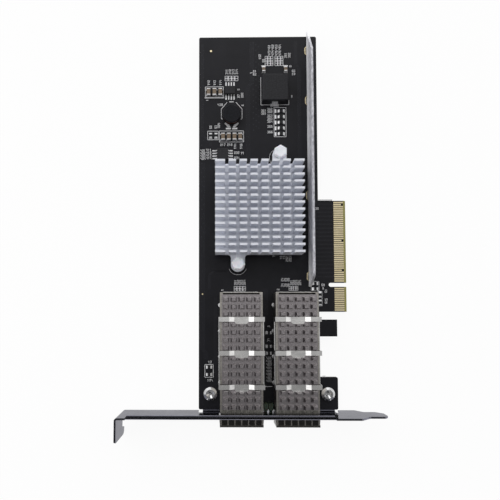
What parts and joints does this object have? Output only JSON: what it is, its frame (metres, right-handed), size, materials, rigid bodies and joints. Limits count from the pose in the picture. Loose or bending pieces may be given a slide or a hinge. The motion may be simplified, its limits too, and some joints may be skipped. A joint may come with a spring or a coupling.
{
  "type": "network interface card",
  "caption": "Plug-in network card with an edge connector, slot bracket, pluggable-module cages with riding heat sinks, and a finned controller heat sink.",
  "frame": {"origin": "mouth of the key notch in the edge connector, in the middle of its width, at mid-thickness of the board", "axes": "+X is the direction in which the card plugs in, +Y runs along the board away from the bracket, +Z points out of the component side"},
  "size_m": [0.12, 0.1908, 0.0185],
  "materials": {
    "solder_mask": "satin black solder mask over glass-fibre laminate, with a fine surface grain",
    "gold": "hard gold plating, lightly brushed along the insertion direction",
    "bracket_steel": "bright nickel-plated steel sheet with a faint rolled grain",
    "screw_nickel": "bright nickel plating",
    "bar_steel": "bright tin-plated steel, rolled lengthwise",
    "sink_aluminium": "matt grey anodised extrusion with sawn cross cuts",
    "package": "matt black moulding compound",
    "pad": "soft grey silicone pad",
    "nylon": "white moulded nylon",
    "spring_steel": "drawn spring wire",
    "lamp_lens": "milky moulded lens",
    "ferrite": "dark grey sintered ferrite",
    "winding": "enamelled copper winding",
    "tinned": "matt tin plating",
    "ceramic": "fired tan ceramic",
    "resistor": "glazed black film on a white ceramic body",
    "cage_nickel": "nickel-plated copper alloy sheet",
    "finger_nickel": "nickel-plated spring alloy",
    "cage_sink_metal": "nickel-plated cast pins, warm grey",
    "clip_steel": "stainless spring sheet",
    "connector_plastic": "black glass-filled moulding"
  },
  "bodies": {
    "root": {"bracket_screws": "screw_nickel", "cage_heat_sink_1": "cage_sink_metal", "cage_heat_sink_2": "cage_sink_metal", "capacitor_bodies": "ceramic", "capacitor_end_caps": "tinned", "circuit_board": "solder_mask", "controller_chip": "package", "drum_inductor_base": "package", "drum_inductor_core": "ferrite", "drum_inductor_winding": "winding", "edge_contacts_component_side": "gold", "edge_contacts_solder_side": "gold", "grounding_fingers_1": "finger_nickel", "grounding_fingers_2": "finger_nickel", "heat_sink": "sink_aluminium", "heat_sink_clip_1": "clip_steel", "heat_sink_clip_2": "clip_steel", "memory_chip": "package", "memory_chip_leads": "tinned", "port_cage_1": "cage_nickel", "port_cage_2": "cage_nickel", "port_connector_1": "connector_plastic", "port_connector_2": "connector_plastic", "port_contacts_1": "gold", "port_contacts_2": "gold", "power_inductor": "ferrite", "power_inductor_terminals": "tinned", "push_pin_springs": "spring_steel", "push_pins": "nylon", "regulator_chip": "package", "regulator_chip_leads": "tinned", "resistor_bodies": "resistor", "resistor_end_caps": "tinned", "slot_bracket": "bracket_steel", "status_lamps": "lamp_lens", "stiffener_bar": "bar_steel", "thermal_pad": "pad"}
  },
  "joints": []
}
